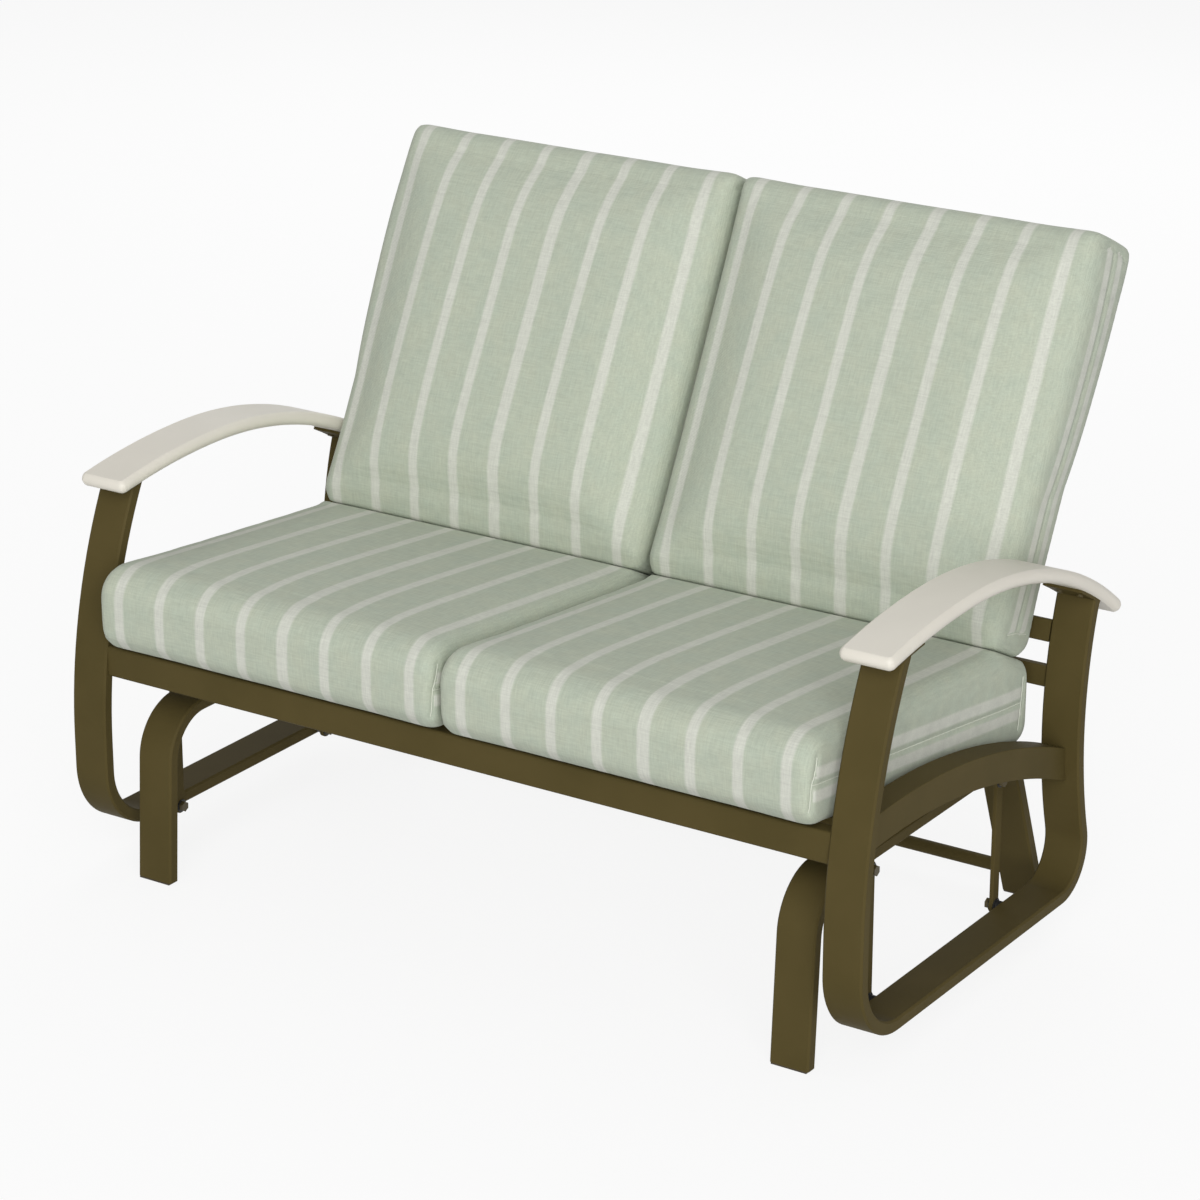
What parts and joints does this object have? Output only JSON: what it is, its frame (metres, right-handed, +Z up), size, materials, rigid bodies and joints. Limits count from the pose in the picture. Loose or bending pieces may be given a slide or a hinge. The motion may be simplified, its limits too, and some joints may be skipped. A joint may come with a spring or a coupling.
{
  "type": "glider bench",
  "caption": "Cushioned glider bench with curved plank arms and bent-tube side loops, hung from a low standing base so that its seat glides forward and back.",
  "frame": {"origin": "on the floor, under the centre of the bench's bounding box at rest", "axes": "+X across the bench towards the right of someone standing in front of it, +Y from front to back, +Z up"},
  "size_m": [1.27, 0.8449, 0.9246],
  "materials": {
    "frame": "satin olive-bronze powder coat",
    "arm": "satin warm grey moulded polymer",
    "fabric": "sage green woven outdoor fabric with off-white stripes",
    "cap": "dark brown moulded plastic",
    "bush": "black nylon",
    "zinc": "zinc plated"
  },
  "bodies": {
    "base": {"base_frame_left": "frame", "base_frame_right": "frame", "base_stretcher_rear": "frame", "base_stretcher_upper": "frame", "foot_cap_front_left": "cap", "foot_cap_front_right": "cap", "foot_cap_rear_left": "cap", "foot_cap_rear_right": "cap", "pivot_bolts_upper": "zinc", "pivot_spacers_upper": "bush", "threaded_inserts_upper": "zinc"},
    "link_front_left": {"hanger_front_left": "frame", "hanger_bushes_front_left": "bush"},
    "link_front_right": {"hanger_front_right": "frame", "hanger_bushes_front_right": "bush"},
    "link_rear_left": {"hanger_rear_left": "frame", "hanger_bushes_rear_left": "bush"},
    "link_rear_right": {"hanger_rear_right": "frame", "hanger_bushes_rear_right": "bush"},
    "seat": {"arm_left": "arm", "arm_plates": "frame", "arm_right": "arm", "arm_screws": "zinc", "back_cross_bar_1": "frame", "back_cross_bar_2": "frame", "back_cushion_left": "fabric", "back_cushion_right": "fabric", "back_slat_1": "frame", "back_slat_2": "frame", "back_slat_3": "frame", "back_slat_4": "frame", "back_slat_5": "frame", "back_slat_6": "frame", "back_slat_7": "frame", "back_stile_caps": "cap", "back_stile_centre": "frame", "back_stile_left": "frame", "back_stile_right": "frame", "pivot_bolts_lower": "zinc", "pivot_spacers_lower": "bush", "seat_centre_brace": "frame", "seat_cushion_left": "fabric", "seat_cushion_right": "fabric", "seat_front_rail": "frame", "seat_rear_rail": "frame", "seat_side_rail_left": "frame", "seat_side_rail_right": "frame", "seat_slat_1": "frame", "seat_slat_2": "frame", "seat_slat_3": "frame", "seat_slat_4": "frame", "seat_slat_5": "frame", "seat_slat_6": "frame", "side_loop_left": "frame", "side_loop_right": "frame", "threaded_inserts_lower": "zinc"}
  },
  "joints": [
    {"name": "swing_front_left", "type": "hinge", "parent": "base", "child": "link_front_left", "pos_m": [-0.559, -0.2624, 0.243], "axis": [1, 0, 0], "range_deg": [-20, 20]},
    {"name": "swing_front_right", "type": "hinge", "parent": "base", "child": "link_front_right", "pos_m": [0.559, -0.2624, 0.243], "axis": [1, 0, 0], "range_deg": [-20, 20]},
    {"name": "swing_rear_left", "type": "hinge", "parent": "base", "child": "link_rear_left", "pos_m": [-0.559, 0.0776, 0.243], "axis": [1, 0, 0], "range_deg": [-20, 20]},
    {"name": "swing_rear_right", "type": "hinge", "parent": "base", "child": "link_rear_right", "pos_m": [0.559, 0.0776, 0.243], "axis": [1, 0, 0], "range_deg": [-20, 20]},
    {"name": "seat_level", "type": "hinge", "parent": "link_rear_left", "child": "seat", "pos_m": [-0.559, 0.0776, 0.063], "axis": [1, 0, 0], "range_deg": [-20, 20]}
  ],
  "couplings": [
    {"joint": "seat_level", "follows": "swing_rear_left", "ratio": -1},
    {"joint": "swing_rear_right", "follows": "swing_rear_left", "ratio": 1},
    {"joint": "swing_front_left", "follows": "swing_rear_left", "ratio": 1},
    {"joint": "swing_front_right", "follows": "swing_rear_left", "ratio": 1}
  ]
}
